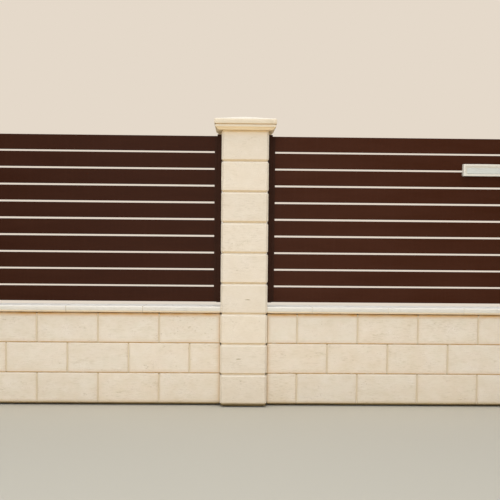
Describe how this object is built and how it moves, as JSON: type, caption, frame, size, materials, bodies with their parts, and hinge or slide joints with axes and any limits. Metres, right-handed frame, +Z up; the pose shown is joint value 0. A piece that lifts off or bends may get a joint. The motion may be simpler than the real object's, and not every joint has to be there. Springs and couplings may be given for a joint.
{
  "type": "slatted aluminium fence on a stone wall",
  "caption": "Slatted aluminium fence panels between square stone pillars with moulded caps, standing over a low block wall with a stone sill.",
  "frame": {"origin": "on the ground, in the middle of the flat foot under the centre pillar", "axes": "+X along the fence, the street side faces -Y, +Z up"},
  "size_m": [4.64, 0.404, 1.92],
  "materials": {
    "wall_stone": "cream limestone blocks, fine sawn face with light pits",
    "pillar_stone": "cream limestone, smooth sawn face",
    "sill_stone": "pale grey limestone, honed",
    "joint_mortar": "struck mortar",
    "footing_mortar": "dark damp mortar bed",
    "slat_coating": "chocolate brown powder coat, satin",
    "post_coating": "chocolate brown powder coat, satin",
    "black_plastic": "dark brown nylon, matt",
    "white_plastic": "off-white plastic, satin"
  },
  "bodies": {
    "root": {"cap_centre": "pillar_stone", "cap_left": "pillar_stone", "cap_right": "pillar_stone", "footing_strip": "footing_mortar", "pillar_centre": "pillar_stone", "pillar_left": "pillar_stone", "pillar_right": "pillar_stone", "post_left_inner": "post_coating", "post_left_outer": "post_coating", "post_plugs_left_inner": "black_plastic", "post_plugs_left_outer": "black_plastic", "post_plugs_right_inner": "black_plastic", "post_plugs_right_outer": "black_plastic", "post_right_inner": "post_coating", "post_right_outer": "post_coating", "sill_left": "sill_stone", "sill_mortar_left": "joint_mortar", "sill_mortar_right": "joint_mortar", "sill_right": "sill_stone", "slat_channel_left_inner": "post_coating", "slat_channel_left_outer": "post_coating", "slat_channel_right_inner": "post_coating", "slat_channel_right_outer": "post_coating", "slat_spacers_left_inner": "black_plastic", "slat_spacers_left_outer": "black_plastic", "slat_spacers_right_inner": "black_plastic", "slat_spacers_right_outer": "black_plastic", "slats_left": "slat_coating", "slats_right": "slat_coating", "surface_box_body": "white_plastic", "surface_box_cover": "white_plastic", "wall_left": "wall_stone", "wall_right": "wall_stone"}
  },
  "joints": []
}
